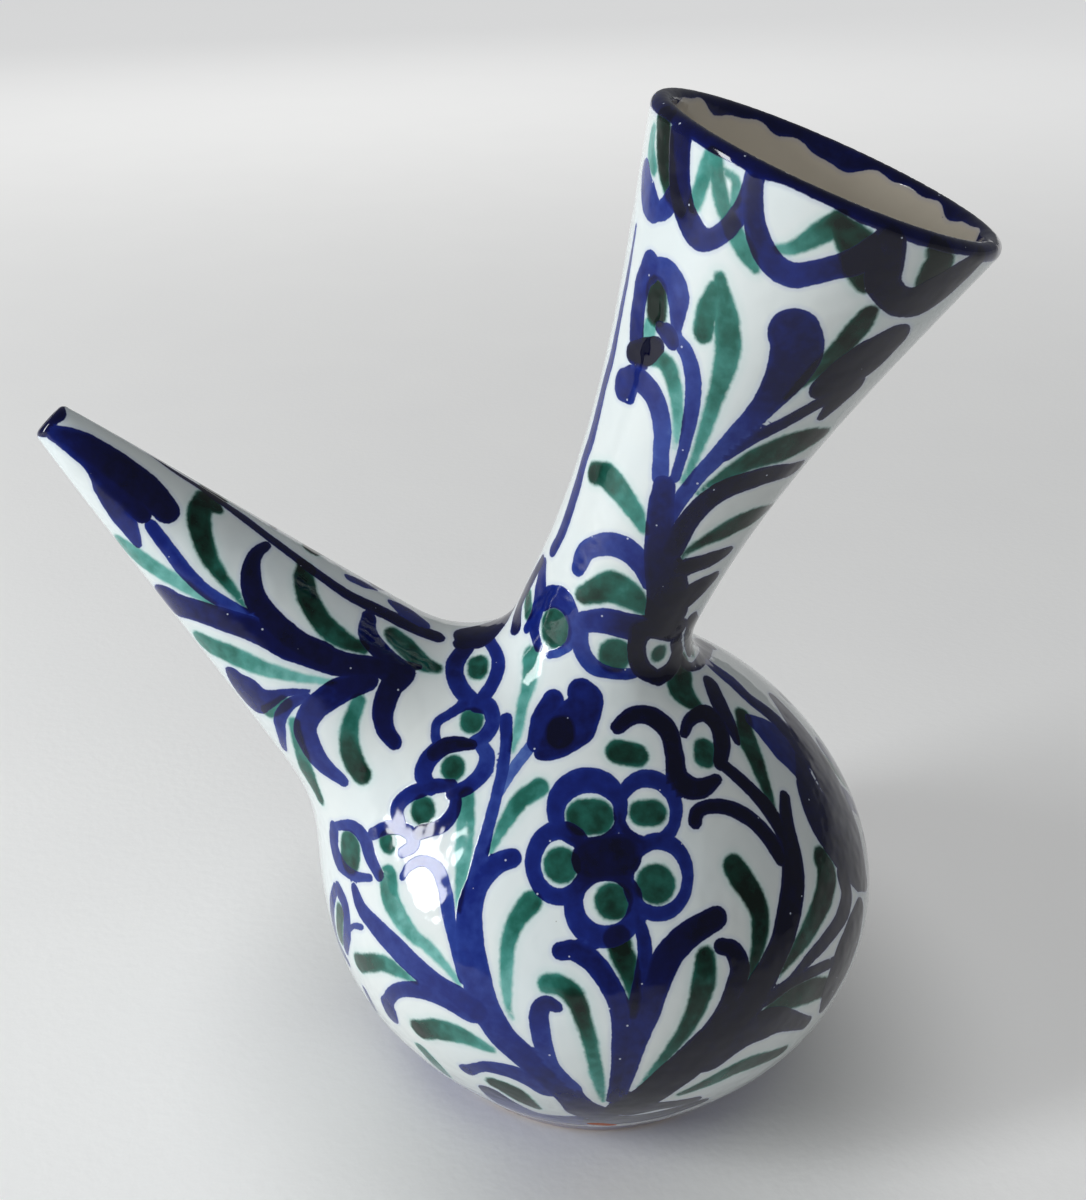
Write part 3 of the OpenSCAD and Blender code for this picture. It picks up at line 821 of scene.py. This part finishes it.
def smooth_path(stops, count):
    """Points along a smooth curve through the stops, and each point's share of the way"""
    reach = np.concatenate([[0], np.cumsum(np.linalg.norm(np.diff(stops, axis=0), axis=1))])
    share = np.linspace(0, reach[-1], count)
    padded = np.vstack([2 * stops[0] - stops[1], stops, 2 * stops[-1] - stops[-2]])
    n = np.clip(np.searchsorted(reach, share, side="right") - 1, 0, len(stops) - 2)
    t = ((share - reach[n]) / np.maximum(reach[n + 1] - reach[n], TINY))[:, None]
    a, b, c, d = (padded[n + i] for i in range(4))
    curve = b + t / 2 * (c - a + t * (2 * a - 5 * b + 4 * c - d + t * (3 * (b - c) + d - a)))
    return curve, share / max(reach[-1], TINY)


def spread(share, values):
    """Values at even steps of a stroke, read at each share of its way"""
    return np.interp(share, np.linspace(0, 1, len(values)), values)


def surface_path(stops):
    """Points along a smooth curve on the vessel, and each point's share of the way"""
    length = np.linalg.norm(np.diff(stops, axis=0), axis=1).sum()
    points, share = smooth_path(stops, max(int(length / SAMPLE_MM), 3))
    return settle(points, 3), share


def laid(stroke):
    """A stroke on the vessel: points, half widths in millimetres and tones"""
    pixels, widths, tones = stroke
    points, share = surface_path(cast(pixels))
    across = np.cross(normals_of(points), np.gradient(points, axis=0))
    across /= np.maximum(np.linalg.norm(across, axis=1), TINY)[:, None]
    run = np.gradient(picture(points), axis=0)
    run /= np.maximum(np.linalg.norm(run, axis=1), TINY)[:, None]
    aside = picture(points + across / 2) - picture(points - across / 2)
    seen = np.abs(aside[:, 0] * run[:, 1] - aside[:, 1] * run[:, 0])
    face_on = FOCAL_PX / ((points - CAMERA_AT) @ camera_axes()[2])
    half = spread(share, widths) / 2 / np.maximum(seen, face_on * LEAST_SEEN)
    return points, half, spread(share, tones)


def on_belly(turn, steps):
    """Points at (millimetres aside, height) from the belly's meridian at this turn"""
    aside, height = np.array(steps, float).T
    radius = np.interp(height, BELLY[:, 1], BELLY[:, 0])
    angle = turn + aside / radius
    return np.stack([radius * np.cos(angle), radius * np.sin(angle), height], axis=1)


def on_neck(steps):
    """Points at (millimetres aside, way up the axis) from the neck's line away from the spout"""
    aside, s = np.array(steps, float).T
    radius = np.interp(s, NECK[:, 1], NECK[:, 0])
    angle = aside / radius
    outward = np.outer(radius * np.cos(angle), np.cross([0, 1, 0], NECK_AXIS))
    return NECK_PIVOT + np.outer(s, NECK_AXIS) + outward + np.outer(radius * np.sin(angle), [0, 1, 0])


def guessed(stops, widths_mm, tones):
    """A stroke that the photograph doesn't show"""
    points, share = surface_path(stops)
    return points, spread(share, widths_mm) / 2, spread(share, tones)


def sprig(turn, low, high, pairs):
    """A guessed stem with pairs of leaves, up the belly, as blue and green strokes"""
    stem = [(0, low), (0.9, low + (high - low) / 3), (-0.7, high - (high - low) / 3), (0, high)]
    blue = [guessed(on_belly(turn, stem), *SPRIG_STEM)]
    green = []
    for height in np.linspace(low + 5, high - 17, pairs):
        for side in (-1, 1):
            leaf = [(0, height), (5 * side, height + 3), (9.5 * side, height + 9),
                    (11 * side, height + 15)]
            blue.append(guessed(on_belly(turn, leaf), *SPRIG_BLUE_LEAF))
            leaf = [(1 * side, height + 6), (4 * side, height + 11), (5.5 * side, height + 17)]
            green.append(guessed(on_belly(turn, leaf), *SPRIG_GREEN_LEAF))
    return blue, green


def far_neck():
    """Guessed lines and a scallop on the side of the neck away from the spout"""
    blue = []
    for side in (-1, 1):
        line = [(3.6 * side, 8), (3.2 * side, 30), (3.6 * side, 60), (4.4 * side, 88)]
        blue.append(guessed(on_neck(line), *FAR_NECK_LINE))
    scallop = [(-13, 107), (-10.5, 97), (-5, 92), (0, 91), (5, 92), (10.5, 97), (13, 107)]
    blue.append(guessed(on_neck(scallop), *FAR_NECK_SCALLOP))
    leaf = [(-5, 107), (-2, 101), (3, 99), (6, 104)]
    return blue, [guessed(on_neck(leaf), *FAR_NECK_LEAF)]


def with_back(strokes):
    """The strokes, and the mirror images of those that land on the side the photograph doesn't show"""
    both = list(strokes)
    for points, half, tones in strokes:
        image = points * [1, -1, 1]
        hidden = ((image - CAMERA_AT) * normals_of(image)).sum(axis=1) > 0
        if hidden.mean() > LEAST_HIDDEN:
            both.append((image, half, tones))
    return both


def paint(points, strokes, gap, tone):
    """Lowers gap to the distance from the strokes, and takes their tone there"""
    for stops, half, shade in strokes:
        margin = half.max() + FAR / 2
        near = ((points > stops.min(axis=0) - margin) & (points < stops.max(axis=0) + margin)).all(axis=1)
        chosen = np.nonzero(near)[0]
        for part in np.array_split(chosen, max(len(chosen) * len(stops) // PAIRS_AT_ONCE, 1)):
            apart = np.linalg.norm(points[part, None, :] - stops[None, :, :], axis=2) - half
            least = apart.min(axis=1)
            lower = least < gap[part]
            pull = np.exp((least[lower, None] - apart[lower]) / TONE_BLEND_MM)
            gap[part[lower]] = least[lower]
            tone[part[lower]] = pull @ shade / pull.sum(axis=1)


def wobble(angle, waves):
    """Sum of (count round the turn, height, phase) waves"""
    return sum(height * np.sin(count * angle + phase) for count, height, phase in waves)


def around(p, pivot, axis):
    """Angle round an axis that lies in the XZ plane"""
    q = p - pivot
    return np.arctan2(q[:, 1], q @ np.cross([0, 1, 0], axis))


def bands(p):
    """Distance and tone of the painted bands at the rim, the spout's tip and the foot"""
    s = on_axis(p, NECK_PIVOT, NECK_AXIS)[0]
    d = on_axis(p, SPOUT_PIVOT, SPOUT_AXIS)[0]
    turn = around(p, NECK_PIVOT, NECK_AXIS)
    hand = wobble(turn, RIM_WAVES)
    outside = RIM_S - RIM_BAND + RIM_SWING * hand - s
    inside = RIM_S - RIM_BAND_INSIDE + RIM_SWING_INSIDE * hand - s
    rim = np.where(in_bore(p), inside, outside)
    tip_hand = wobble(around(p, SPOUT_PIVOT, SPOUT_AXIS), TIP_WAVES)
    tip = TIP_D - TIP_BAND + tip_hand - d
    foot_hand = wobble(np.arctan2(p[:, 1], p[:, 0]), FOOT_WAVES)
    foot = np.abs(p[:, 2] - FOOT_LINE_Z + foot_hand) - FOOT_LINE_HALF
    return (rim, RIM_TONE + RIM_TONE_SWING * hand), (tip, TIP_TONE), (foot, FOOT_TONE)


def petal(hole_middle, hole_half, outer_middle, outer_half):
    """A ring between two ovals, darker towards the flower's heart"""
    hole = np.array(oval(hole_middle, hole_half))
    outer = np.array(oval(outer_middle, outer_half))
    path = (hole + outer) / 2
    inward = np.linalg.norm(path - FLOWER_MIDDLE, axis=1)
    return path, np.linalg.norm(outer - hole, axis=1), np.interp(inward, PETAL_TONE_PX, PETAL_TONES)


def all_strokes():
    """Blue and green strokes on both sides of the vessel"""
    blue = []
    for group in (SPOUT_BLUE, CHAIN_BLUE, NECK_ROOT_BLUE, NECK_BLUE, RIM_BLUE, SHOULDER_BLUE, BELLY_BLUE):
        blue += group.values()
    blue += [petal(*ovals) for ovals in FLOWER_PETALS.values()] + [FLOWER_HEART]
    green = []
    for group in (SPOUT_GREEN, NECK_GREEN, RIM_GREEN, SHOULDER_GREEN, BELLY_GREEN):
        green += group.values()
    green += [dab(*spot) for spot in (*GREEN_DABS.values(), *PETAL_DABS.values())]
    blue = with_back([laid(stroke) for stroke in blue])
    green = with_back([laid(stroke) for stroke in green])
    for more_blue, more_green in (*(sprig(*where) for where in SPRIGS), far_neck()):
        blue += more_blue
        green += more_green
    return blue, green


def store(mesh, name, values):
    padded = np.full(len(mesh.vertices), values.max())
    padded[:len(values)] = values
    mesh.attributes.new(name, "FLOAT", "POINT").data.foreach_set("value", padded)


def paint_piece(piece, points, blue, green):
    skin = ~in_bore(points) & ~in_hole(points)
    outer = points[skin]
    for names, strokes in ((BLUE_LAYERS, blue), (GREEN_LAYERS, green)):
        for n, name in enumerate(names):
            gap = np.full(len(points), FAR)
            tone = np.full(len(points), 0.5)
            own_gap = gap[skin]
            own_tone = tone[skin]
            paint(outer, strokes[n::len(names)], own_gap, own_tone)
            gap[skin] = own_gap
            tone[skin] = own_tone
            if name == BLUE_LAYERS[0]:
                for band, shade in bands(points):
                    tone = np.where(band < gap, shade, tone)
                    gap = np.minimum(gap, band)
            store(piece.data, name, gap)
            store(piece.data, name + "_tone", tone)
    gap = np.full(len(points), FAR)
    paint(points, [laid(CHIP)], gap, np.zeros(len(points)))
    store(piece.data, "chip", gap)
    store(piece.data, "inside", in_bore(points).astype(float))


# Materials

def srgb(red, green, blue):
    """Linear colour from 0 to 255 display values"""
    parts = [c / 255 for c in (red, green, blue)]
    return [c / 12.92 if c <= 0.04045 else ((c + 0.055) / 1.055) ** 2.4 for c in parts] + [1]


# Paint by tone: a thin wash, then ever thicker
COBALT = (
    (0.0, srgb(88, 116, 180)),
    (0.2, srgb(46, 68, 146)),
    (0.45, srgb(20, 36, 114)),
    (0.7, srgb(10, 16, 70)),
    (1.0, srgb(7, 8, 34)),
)
COPPER = (
    (0.0, srgb(122, 188, 182)),
    (0.3, srgb(66, 138, 128)),
    (0.55, srgb(34, 98, 86)),
    (0.8, srgb(16, 58, 47)),
    (1.0, srgb(7, 25, 18)),
)

# Tone at a stroke's edge, as a share of its middle's, and how far in the middle begins
EDGE_TONE = 0.78
EDGE_MM = 1.3


class Shader:
    """A material's nodes, ending in one Principled shader"""

    def __init__(self, name, **settings):
        self.material = bpy.data.materials.new(name)
        self.material.use_nodes = True
        self.tree = self.material.node_tree
        self.surface = self.tree.nodes["Principled BSDF"]
        for socket, value in settings.items():
            self.feed(self.surface.inputs[socket.replace("_", " ")], value)
        self.place = self.node("ShaderNodeTexCoord").outputs["Object"]

    def node(self, kind, **settings):
        made = self.tree.nodes.new(kind)
        for name, value in settings.items():
            setattr(made, name, value)
        return made

    def feed(self, socket, value):
        if isinstance(value, bpy.types.NodeSocket):
            self.tree.links.new(value, socket)
        else:
            socket.default_value = value

    def attribute(self, name):
        return self.node("ShaderNodeAttribute", attribute_name=name).outputs["Fac"]

    def noise(self, size_mm, detail=2.0):
        made = self.node("ShaderNodeTexNoise")
        self.feed(made.inputs["Vector"], self.place)
        made.inputs["Scale"].default_value = 1 / (size_mm * MM)
        made.inputs["Detail"].default_value = detail
        return made.outputs["Fac"]

    def cells(self, size_mm):
        """Distance to scattered points, in millimetres"""
        made = self.node("ShaderNodeTexVoronoi")
        self.feed(made.inputs["Vector"], self.place)
        made.inputs["Scale"].default_value = 1 / (size_mm * MM)
        return self.math("MULTIPLY", made.outputs["Distance"], size_mm)

    def math(self, operation, a, b=0.0, c=0.0):
        made = self.node("ShaderNodeMath", operation=operation)
        for socket, value in zip(made.inputs, (a, b, c)):
            self.feed(socket, value)
        return made.outputs[0]

    def step(self, value, start, end):
        """Smooth step from 0 at start to 1 at end"""
        made = self.node("ShaderNodeMapRange", interpolation_type="SMOOTHSTEP")
        for socket, number in zip(made.inputs, (value, start, end, 0.0, 1.0)):
            self.feed(socket, number)
        return made.outputs[0]

    def mix(self, share, a, b):
        made = self.node("ShaderNodeMix", data_type="RGBA")
        self.feed(made.inputs[0], share)
        self.feed(made.inputs[6], a)
        self.feed(made.inputs[7], b)
        return made.outputs[2]

    def ramp(self, value, *stops):
        """Colours at (place, colour) stops"""
        made = self.node("ShaderNodeValToRGB")
        marks = made.color_ramp.elements
        while len(marks) < len(stops):
            marks.new(1)
        for mark, (place, colour) in zip(marks, stops):
            mark.position = place
            mark.color = colour
        self.feed(made.inputs[0], value)
        return made.outputs[0]

    def halo(self, colour, gaps, reach_mm, share, tint):
        """Tints the glaze round strokes, whose distances are the gaps"""
        nearest = gaps[0]
        for gap in gaps[1:]:
            nearest = self.math("MINIMUM", nearest, gap)
        return self.mix(self.math("MULTIPLY", self.step(nearest, reach_mm, 0.0), share), colour, tint)

    def coats(self, names, gaps, start_mm, end_mm):
        """Cover and tone of strokes: they thin out towards their edges, and the thickest paint shows"""
        cover = 0.0
        tone = 0.0
        for name, gap in zip(names, gaps):
            body = self.math("MULTIPLY_ADD", self.step(gap, 0.0, -EDGE_MM), 1 - EDGE_TONE, EDGE_TONE)
            own = self.step(gap, start_mm, end_mm)
            own_tone = self.math("MULTIPLY", self.attribute(name + "_tone"), body)
            tone = self.math("MAXIMUM", tone, self.math("MULTIPLY", own_tone, own))
            cover = self.math("MAXIMUM", cover, own)
        return cover, tone

    def finish(self, colour, roughness, height, depth_mm):
        """Links colour and roughness, and a bump of this depth"""
        bump = self.node("ShaderNodeBump")
        bump.inputs["Strength"].default_value = 1
        bump.inputs["Distance"].default_value = depth_mm * MM
        self.feed(bump.inputs["Height"], height)
        self.feed(self.surface.inputs["Base Color"], colour)
        self.feed(self.surface.inputs["Roughness"], roughness)
        self.feed(self.surface.inputs["Normal"], bump.outputs[0])
        return self.material


def glaze_material():
    """Glossy tin white under cobalt and copper brushwork"""
    made = Shader("tin_glaze", IOR=1.5, Specular_IOR_Level=0.35)
    white = made.mix(made.noise(28, 3), srgb(217, 228, 231), srgb(228, 231, 227))
    cream = made.mix(made.noise(14, 3), srgb(202, 193, 176), srgb(216, 208, 192))
    white = made.mix(made.attribute("inside"), white, cream)
    specks = made.step(made.cells(11), 0.22, 0.12)
    white = made.mix(made.math("MULTIPLY", specks, 0.55), white, srgb(92, 84, 72))
    drift = made.math("SUBTRACT", made.noise(7, 2), 0.5)
    ragged = made.math("SUBTRACT", made.noise(1.3, 3), 0.5)
    mottle = made.math("SUBTRACT", made.noise(2.6, 5), 0.5)
    shore = made.math("MULTIPLY_ADD", drift, 1.0, made.math("MULTIPLY", ragged, 0.7))
    greens = [made.math("ADD", made.attribute(name), shore) for name in GREEN_LAYERS]
    blues = [made.math("MULTIPLY_ADD", shore, 0.5, made.attribute(name)) for name in BLUE_LAYERS]
    colour = made.halo(white, greens, reach_mm=2.2, share=0.14, tint=srgb(140, 200, 192))
    colour = made.halo(colour, blues, reach_mm=1.2, share=0.18, tint=srgb(120, 140, 205))
    uneven = made.math("MULTIPLY_ADD", drift, 0.6, made.math("MULTIPLY", mottle, 0.45))
    green, tone = made.coats(GREEN_LAYERS, greens, start_mm=0.55, end_mm=-0.5)
    colour = made.mix(green, colour, made.ramp(made.math("ADD", tone, uneven), *COPPER))
    thick, tone = made.coats(BLUE_LAYERS, blues, start_mm=0.14, end_mm=-0.14)
    tone = made.math("MULTIPLY_ADD", green, 0.35, made.math("MULTIPLY_ADD", mottle, 0.35, tone))
    colour = made.mix(thick, colour, made.ramp(tone, *COBALT))
    # Pale specks on the blue paint: partly pinholes, partly painted glints
    pinholes_and_glints = made.math("MULTIPLY", made.step(made.cells(5), 0.3, 0.16), thick)
    colour = made.mix(made.math("MULTIPLY", pinholes_and_glints, 0.8), colour, srgb(196, 204, 222))
    bare = made.step(made.math("ADD", made.attribute("chip"), ragged), 0.15, -0.15)
    colour = made.mix(bare, colour, srgb(176, 96, 66))
    roughness = made.math("MULTIPLY_ADD", made.noise(9, 3), 0.08, 0.03)
    roughness = made.math("MULTIPLY_ADD", bare, 0.6, roughness)
    ripple = made.math("MULTIPLY", made.noise(6, 1), 0.4)
    ripple = made.math("MULTIPLY_ADD", made.noise(2.4, 0), 0.07, ripple)
    height = made.math("MULTIPLY_ADD", made.noise(22, 1), 0.35, ripple)
    height = made.math("MULTIPLY_ADD", thick, 0.05, height)
    return made.finish(colour, roughness, height, depth_mm=0.6)


def clay_material(name, dark, light):
    """Fired earthenware with grog and pores"""
    made = Shader(name)
    colour = made.mix(made.noise(6, 4), srgb(*dark), srgb(*light))
    grog = made.step(made.cells(1.7), 0.35, 0.2)
    colour = made.mix(made.math("MULTIPLY", grog, 0.5), colour, srgb(214, 166, 134))
    roughness = made.math("MULTIPLY_ADD", made.noise(2, 2), 0.2, 0.7)
    height = made.math("SUBTRACT", made.noise(0.9, 3), made.math("MULTIPLY", grog, 0.3))
    return made.finish(colour, roughness, height, depth_mm=0.2)


def lining_material():
    """Cream glaze that pooled unevenly inside"""
    made = Shader("cream_glaze", IOR=1.5)
    colour = made.mix(made.noise(14, 3), srgb(216, 208, 190), srgb(228, 222, 208))
    specks = made.step(made.cells(8), 0.25, 0.12)
    colour = made.mix(made.math("MULTIPLY", specks, 0.6), colour, srgb(96, 82, 66))
    roughness = made.math("MULTIPLY_ADD", made.noise(9, 3), 0.12, 0.12)
    return made.finish(colour, roughness, made.noise(12, 2), depth_mm=0.4)


# The floor's own glow: strength near the vessel and far off
FLOOR_GLOW_NEAR = 0.24
FLOOR_GLOW_FAR = 0.55

# Distances in metres over which that glow sets in past a painted shadow round the foot, rises, fades and
# dims to the sides
FLOOR_PAINTED_SHADOW_FROM_TO = (0.045, 0.12)
FLOOR_GLOW_FROM_TO = (0.25, 1.7)
FLOOR_FADE_FROM_TO = (2.6, 3.9)
FLOOR_ASIDE_FROM_TO = (0.15, 0.75)

# The undimmed middle widens by this much per metre to the back, and dimming takes this share
FLOOR_ASIDE_LEAN = 0.5
FLOOR_DIMMING = 0.8


def floor_material():
    """Pale floor with a glow of its own that lights nothing, for an even background, held back round the
    foot as a painted shadow
    """
    made = Shader("floor")
    rays = made.node("ShaderNodeLightPath").outputs
    seen = made.math("MAXIMUM", rays["Is Camera Ray"], rays["Is Glossy Ray"])
    seen = made.math("MAXIMUM", seen, rays["Is Transmission Ray"])
    away = made.node("ShaderNodeVectorMath", operation="LENGTH")
    made.feed(away.inputs[0], made.place)
    rise = made.step(away.outputs["Value"], *FLOOR_GLOW_FROM_TO)
    # Glow held back close round the foot: a painted shadow under the belly
    shade = made.math("MULTIPLY", made.step(away.outputs["Value"], *FLOOR_PAINTED_SHADOW_FROM_TO), FLOOR_GLOW_NEAR)
    glow = made.math("MULTIPLY_ADD", rise, FLOOR_GLOW_FAR - FLOOR_GLOW_NEAR, shade)
    sides = made.node("ShaderNodeSeparateXYZ")
    made.feed(sides.inputs[0], made.place)
    across = made.math("ABSOLUTE", sides.outputs["X"])
    aside = made.math("MULTIPLY_ADD", sides.outputs["Y"], -FLOOR_ASIDE_LEAN, across)
    dimmer = made.math("MAXIMUM", made.step(aside, *FLOOR_ASIDE_FROM_TO),
                       made.step(away.outputs["Value"], *FLOOR_FADE_FROM_TO))
    glow = made.math("MULTIPLY", glow, made.math("MULTIPLY_ADD", dimmer, -FLOOR_DIMMING, 1.0))
    made.feed(made.surface.inputs["Emission Color"], srgb(255, 255, 255))
    made.feed(made.surface.inputs["Emission Strength"], made.math("MULTIPLY", seen, glow))
    colour = made.mix(made.noise(60, 3), srgb(216, 216, 215), srgb(222, 222, 220))
    return made.finish(colour, 0.85, made.noise(3, 2), depth_mm=0.1)


def dress(piece, material):
    piece.data.materials.clear()
    piece.data.materials.append(material)


# Studio


def make_floor(half=4.0):
    mesh = bpy.data.meshes.new("floor")
    corners = [(-half, -half, 0), (half, -half, 0), (half, half, 0), (-half, half, 0)]
    mesh.from_pydata(corners, [], [(0, 1, 2, 3)])
    floor = bpy.data.objects.new("floor", mesh)
    bpy.context.scene.collection.objects.link(floor)
    dress(floor, floor_material())


# What the lamps point at, their colours, and colour and strength of the light from all round
LAMP_TARGET = (0, 0, 0.1)
DAYLIGHT = (0.96, 0.985, 1.0)
WARM_WHITE = (1.0, 0.99, 0.97)
SKY = (0.93, 0.96, 1.0, 1)
SKY_STRENGTH = 0.16


def make_lamp(name, place, size, power, colour=WARM_WHITE, mirrored=False):
    """A soft rectangular lamp, which the glaze mirrors or not"""
    data = bpy.data.lights.new(name, "AREA")
    data.shape = "RECTANGLE"
    data.size = size[0]
    data.size_y = size[1]
    data.energy = power
    data.color = colour
    lamp = bpy.data.objects.new(name, data)
    lamp.location = place
    lamp.rotation_mode = "QUATERNION"
    lamp.rotation_quaternion = (Vector(LAMP_TARGET) - Vector(place)).to_track_quat("-Z", "Y")
    lamp.visible_glossy = mirrored
    bpy.context.scene.collection.objects.link(lamp)


def make_lights():
    """A tall window-like lamp on the left, soft fill from the front and a faint lamp behind"""
    make_lamp("window", (-0.96, -0.38, 0.46), size=(0.2, 0.7), power=10, colour=DAYLIGHT, mirrored=True)
    make_lamp("fill", (0.25, -1.3, 0.9), size=(1.2, 0.9), power=4.2)
    make_lamp("behind", (-0.3, 1.3, 0.9), size=(1.0, 0.8), power=4)
    world = bpy.data.worlds.new("studio")
    world.use_nodes = True
    sky = world.node_tree.nodes["Background"].inputs
    sky["Color"].default_value = SKY
    sky["Strength"].default_value = SKY_STRENGTH
    bpy.context.scene.world = world
    bpy.context.scene.view_settings.view_transform = "Standard"


# Building

make_camera()
make_floor()
make_lights()
blue_strokes, green_strokes = all_strokes()
tin_glaze = glaze_material()
for node, (skin_points, skin_faces) in vessel_pieces().items():
    piece = coat(node, skin_points, skin_faces)
    paint_piece(piece, skin_points, blue_strokes, green_strokes)
    dress(piece, tin_glaze)
    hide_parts(node)
    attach(piece, "root")

earthenware = clay_material("earthenware", (150, 82, 56), (178, 104, 74))
slip = clay_material("slip", (160, 94, 68), (186, 116, 86))
for node in ("belly", "neck", "spout"):
    dress(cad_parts[node], earthenware)
for node in ("neck_seam", "spout_seam"):
    dress(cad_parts[node], slip)
dress(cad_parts["belly_lining"], lining_material())
